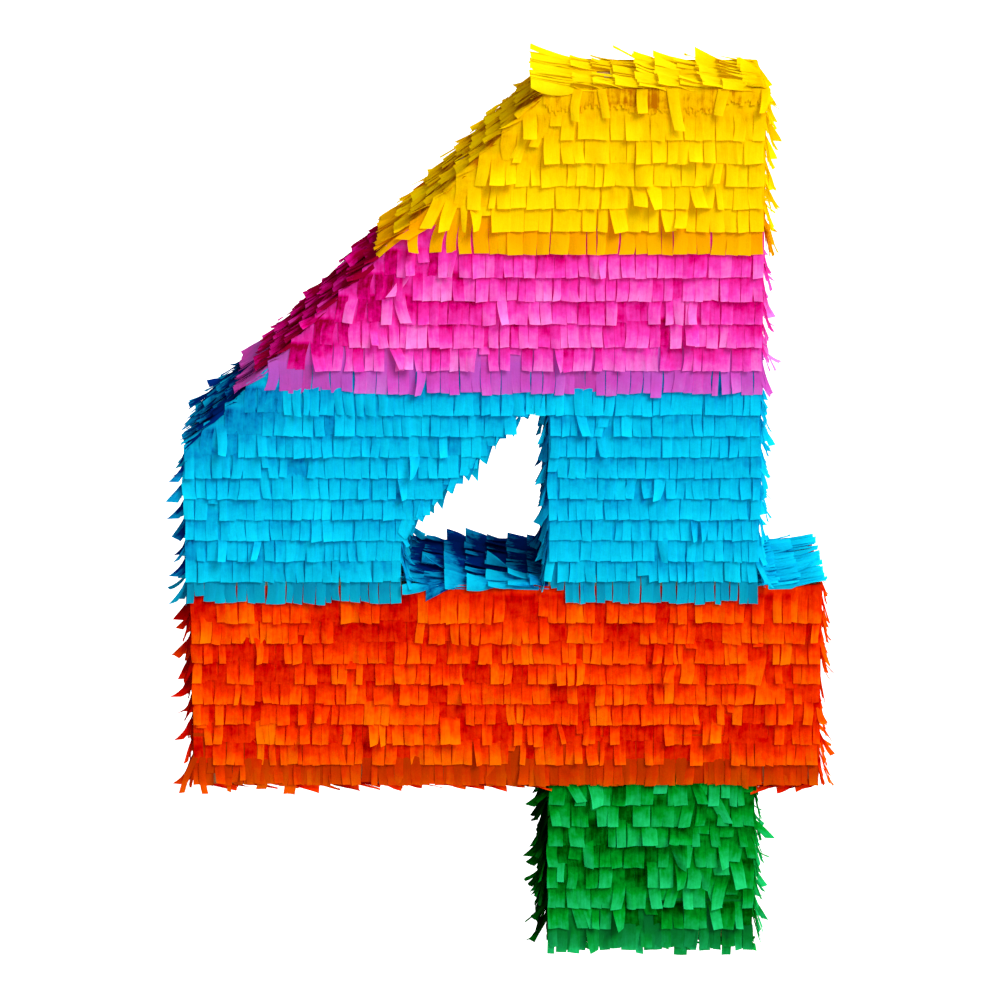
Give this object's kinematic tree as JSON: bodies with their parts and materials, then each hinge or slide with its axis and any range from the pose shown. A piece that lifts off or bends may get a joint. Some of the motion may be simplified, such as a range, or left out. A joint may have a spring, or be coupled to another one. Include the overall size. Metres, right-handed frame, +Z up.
{
  "type": "pinata",
  "caption": "Hollow cardboard pinata in the shape of a numeral four, covered in coloured bands of cut tissue fringe, with a hinged filling flap at the back and two cord holes on top.",
  "frame": {"origin": "centre of the cord hole in the top wall, on the board's outer face", "axes": "+Z up along the stem, +X to the viewer's right, -Y towards the viewer of the front panel"},
  "size_m": [0.3915, 0.106, 0.543],
  "materials": {
    "corrugated_board": "matte",
    "gummed_tape": "satin",
    "tissue_yellow": "matte",
    "tissue_pink": "matte",
    "tissue_blue": "matte",
    "tissue_orange": "matte",
    "tissue_green": "matte"
  },
  "bodies": {
    "shell": {"back_panel": "corrugated_board", "back_seam_tape": "gummed_tape", "fringe_blue_back": "tissue_blue", "fringe_blue_front": "tissue_blue", "fringe_blue_left": "tissue_blue", "fringe_blue_right": "tissue_blue", "fringe_blue_slant": "tissue_blue", "fringe_blue_stub_top": "tissue_blue", "fringe_blue_window_floor": "tissue_blue", "fringe_blue_window_left": "tissue_blue", "fringe_blue_window_right": "tissue_blue", "fringe_blue_window_slant": "tissue_blue", "fringe_green_back": "tissue_green", "fringe_green_front": "tissue_green", "fringe_green_leg_bottom": "tissue_green", "fringe_green_leg_left": "tissue_green", "fringe_green_leg_right": "tissue_green", "fringe_orange_back": "tissue_orange", "fringe_orange_front": "tissue_orange", "fringe_orange_left": "tissue_orange", "fringe_orange_stub_end": "tissue_orange", "fringe_orange_underside_left": "tissue_orange", "fringe_orange_underside_right": "tissue_orange", "fringe_pink_back": "tissue_pink", "fringe_pink_front": "tissue_pink", "fringe_pink_right": "tissue_pink", "fringe_pink_slant": "tissue_pink", "fringe_yellow_back": "tissue_yellow", "fringe_yellow_front": "tissue_yellow", "fringe_yellow_right": "tissue_yellow", "fringe_yellow_slant": "tissue_yellow", "fringe_yellow_top": "tissue_yellow", "front_panel": "corrugated_board", "front_seam_tape": "gummed_tape", "hinge_tape_upper": "gummed_tape", "left_end_wall": "corrugated_board", "leg_bottom_wall": "corrugated_board", "leg_left_wall": "corrugated_board", "leg_right_wall": "corrugated_board", "slant_hole_doubler": "corrugated_board", "slant_wall": "corrugated_board", "stem_right_wall": "corrugated_board", "stub_end_wall": "corrugated_board", "stub_top_wall": "corrugated_board", "top_hole_doubler": "corrugated_board", "top_wall": "corrugated_board", "underside_left_wall": "corrugated_board", "underside_right_wall": "corrugated_board", "window_floor_wall": "corrugated_board", "window_left_wall": "corrugated_board", "window_right_wall": "corrugated_board", "window_slant_wall": "corrugated_board"},
    "fill_flap": {"fill_flap": "corrugated_board", "fringe_pink_flap": "tissue_pink", "hinge_tape_lower": "gummed_tape"}
  },
  "joints": [
    {"name": "fill_flap_hinge", "type": "hinge", "parent": "shell", "child": "fill_flap", "pos_m": [0.031, 0.05, -0.105], "axis": [1, 0, 0], "range_deg": [0, 110]}
  ]
}
